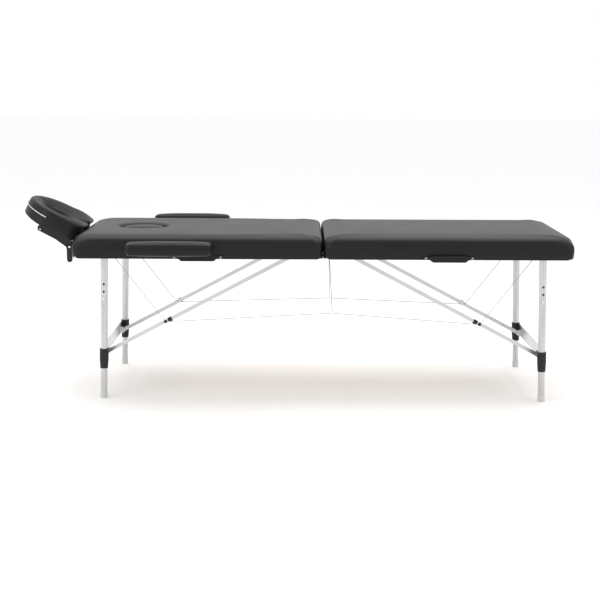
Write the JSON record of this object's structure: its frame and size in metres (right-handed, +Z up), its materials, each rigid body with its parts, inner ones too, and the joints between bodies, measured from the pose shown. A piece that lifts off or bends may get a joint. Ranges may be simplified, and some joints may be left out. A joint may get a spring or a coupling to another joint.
{
  "type": "portable massage table",
  "caption": "Folding two-section massage table on aluminium legs with tilting face rest, face-hole plug and side armrests.",
  "frame": {"origin": "on the floor under the middle of the whole table, face cradle included", "axes": "+X towards the foot end, +Y to the far side, +Z up; the carry handles are on the -Y side"},
  "size_m": [2.0947, 0.752, 0.7467],
  "materials": {
    "black_pu_leather": "embossed grain, soft sheen",
    "foam": "open-cell foam",
    "plywood": "sealed plywood",
    "satin_aluminium": "satin anodised",
    "zinc_steel": "zinc plated",
    "black_plastic": "moulded, fine texture",
    "pale_end_cap": "moulded, pale grey",
    "cable_steel": "stranded steel",
    "black_webbing": "stitched leatherette strap",
    "chrome": "polished"
  },
  "bodies": {
    "head_half": {"head_cover": "black_pu_leather", "head_foam": "foam", "head_deck": "plywood", "head_frame": "satin_aluminium", "head_hinge_leaves": "zinc_steel", "head_leg_mounts": "zinc_steel", "head_diagonal_cables": "cable_steel", "head_link_cables": "cable_steel", "head_handle": "black_webbing", "head_handle_rivets": "chrome", "sockets": "black_plastic"},
    "foot_half": {"foot_cover": "black_pu_leather", "foot_foam": "foam", "foot_deck": "plywood", "foot_frame": "satin_aluminium", "foot_hinge_leaves": "zinc_steel", "foot_leg_mounts": "zinc_steel", "foot_diagonal_cables": "cable_steel", "foot_link_cables": "cable_steel", "foot_handle": "black_webbing", "foot_handle_rivets": "chrome"},
    "face_plug": {"face_plug": "black_pu_leather"},
    "cradle_slide": {"cradle_posts": "zinc_steel", "cradle_yoke": "black_plastic", "cradle_clamp_rod": "zinc_steel"},
    "cradle_tilt": {"cradle_side_plates": "black_plastic", "cradle_board": "plywood", "face_cushion": "black_pu_leather"},
    "cam_lever": {"cam_lever": "black_plastic"},
    "near_armrest": {"near_armrest_frame": "zinc_steel", "near_armrest_pad": "black_pu_leather"},
    "far_armrest": {"far_armrest_frame": "zinc_steel", "far_armrest_pad": "black_pu_leather"},
    "head_legs": {"head_upper_legs": "satin_aluminium", "head_leg_mouldings": "black_plastic", "head_cross_plate": "satin_aluminium", "head_brace_feet": "black_plastic"},
    "head_lower_braces": {"head_lower_braces": "satin_aluminium"},
    "head_upper_braces": {"head_upper_braces": "satin_aluminium", "head_brace_joints": "zinc_steel"},
    "head_near_lower_leg": {"head_near_lower_leg": "satin_aluminium", "head_near_foot": "pale_end_cap"},
    "head_near_button": {"head_near_button": "chrome"},
    "head_far_lower_leg": {"head_far_lower_leg": "satin_aluminium", "head_far_foot": "pale_end_cap"},
    "head_far_button": {"head_far_button": "chrome"},
    "foot_legs": {"foot_upper_legs": "satin_aluminium", "foot_leg_mouldings": "black_plastic", "foot_cross_plate": "satin_aluminium", "foot_brace_feet": "black_plastic"},
    "foot_lower_braces": {"foot_lower_braces": "satin_aluminium"},
    "foot_upper_braces": {"foot_upper_braces": "satin_aluminium", "foot_brace_joints": "zinc_steel"},
    "foot_near_lower_leg": {"foot_near_lower_leg": "satin_aluminium", "foot_near_foot": "pale_end_cap"},
    "foot_near_button": {"foot_near_button": "chrome"},
    "foot_far_lower_leg": {"foot_far_lower_leg": "satin_aluminium", "foot_far_foot": "pale_end_cap"},
    "foot_far_button": {"foot_far_button": "chrome"}
  },
  "joints": [
    {"name": "centre_fold", "type": "hinge", "parent": "head_half", "child": "foot_half", "pos_m": [0.1175, 0, 0.5435], "axis": [0, 1, 0], "range_deg": [0, 180], "deforming": ["head_diagonal_cables", "foot_diagonal_cables", "head_link_cables", "foot_link_cables"]},
    {"name": "head_leg_fold", "type": "hinge", "parent": "head_half", "child": "head_legs", "pos_m": [-0.698, 0, 0.563], "axis": [0, -1, 0], "range_deg": [0, 91.78]},
    {"name": "head_lower_brace_fold", "type": "hinge", "parent": "head_legs", "child": "head_lower_braces", "pos_m": [-0.70591, 0, 0.16485], "axis": [0, -1, 0], "range_deg": [0, 59.44]},
    {"name": "head_upper_brace_fold", "type": "hinge", "parent": "head_half", "child": "head_upper_braces", "pos_m": [0.0455, 0, 0.562], "axis": [0, 1, 0], "range_deg": [0, 28.77]},
    {"name": "head_near_leg_height", "type": "slide", "parent": "head_legs", "child": "head_near_lower_leg", "axis": [-0.0311, 0, -0.9995], "range_m": [-0.0572, 0.1144]},
    {"name": "head_near_button_press", "type": "slide", "parent": "head_near_lower_leg", "child": "head_near_button", "axis": [0, 1, 0], "range_m": [0, 0.0024], "stiffness_N_per_m": 1500},
    {"name": "head_far_leg_height", "type": "slide", "parent": "head_legs", "child": "head_far_lower_leg", "axis": [-0.0311, 0, -0.9995], "range_m": [-0.0572, 0.1144]},
    {"name": "head_far_button_press", "type": "slide", "parent": "head_far_lower_leg", "child": "head_far_button", "axis": [0, -1, 0], "range_m": [0, 0.0024], "stiffness_N_per_m": 1500},
    {"name": "foot_leg_fold", "type": "hinge", "parent": "foot_half", "child": "foot_legs", "pos_m": [0.933, 0, 0.563], "axis": [0, 1, 0], "range_deg": [0, 91.78]},
    {"name": "foot_lower_brace_fold", "type": "hinge", "parent": "foot_legs", "child": "foot_lower_braces", "pos_m": [0.94091, 0, 0.16485], "axis": [0, 1, 0], "range_deg": [0, 59.44]},
    {"name": "foot_upper_brace_fold", "type": "hinge", "parent": "foot_half", "child": "foot_upper_braces", "pos_m": [0.1895, 0, 0.562], "axis": [0, -1, 0], "range_deg": [0, 28.77]},
    {"name": "foot_near_leg_height", "type": "slide", "parent": "foot_legs", "child": "foot_near_lower_leg", "axis": [0.0311, 0, -0.9995], "range_m": [-0.0572, 0.1144]},
    {"name": "foot_near_button_press", "type": "slide", "parent": "foot_near_lower_leg", "child": "foot_near_button", "axis": [0, 1, 0], "range_m": [0, 0.0024], "stiffness_N_per_m": 1500},
    {"name": "foot_far_leg_height", "type": "slide", "parent": "foot_legs", "child": "foot_far_lower_leg", "axis": [0.0311, 0, -0.9995], "range_m": [-0.0572, 0.1144]},
    {"name": "foot_far_button_press", "type": "slide", "parent": "foot_far_lower_leg", "child": "foot_far_button", "axis": [0, -1, 0], "range_m": [0, 0.0024], "stiffness_N_per_m": 1500},
    {"name": "face_plug_lift", "type": "slide", "parent": "head_half", "child": "face_plug", "axis": [0, 0, 1], "range_m": [0, 0.05]},
    {"name": "cradle_slide", "type": "slide", "parent": "head_half", "child": "cradle_slide", "axis": [-1, 0, 0], "range_m": [0, 0.05]},
    {"name": "cradle_tilt", "type": "hinge", "parent": "cradle_slide", "child": "cradle_tilt", "pos_m": [-0.8525, 0, 0.563], "axis": [0, -1, 0], "range_deg": [0, 50]},
    {"name": "cam_lever_flip", "type": "hinge", "parent": "cradle_slide", "child": "cam_lever", "pos_m": [-0.8525, -0.132, 0.563], "axis": [-1, 0, 0], "range_deg": [0, 90]},
    {"name": "near_armrest_slide", "type": "slide", "parent": "head_half", "child": "near_armrest", "axis": [0, -1, 0], "range_m": [0, 0.05]},
    {"name": "far_armrest_slide", "type": "slide", "parent": "head_half", "child": "far_armrest", "axis": [0, 1, 0], "range_m": [0, 0.05]}
  ],
  "couplings": [
    {"joint": "head_leg_fold", "follows": "centre_fold", "ratio": 0.50992},
    {"joint": "head_lower_brace_fold", "follows": "centre_fold", "ratio": 0.33025},
    {"joint": "head_upper_brace_fold", "follows": "centre_fold", "ratio": 0.15984},
    {"joint": "foot_leg_fold", "follows": "centre_fold", "ratio": 0.50992},
    {"joint": "foot_lower_brace_fold", "follows": "centre_fold", "ratio": 0.33025},
    {"joint": "foot_upper_brace_fold", "follows": "centre_fold", "ratio": 0.15984}
  ]
}
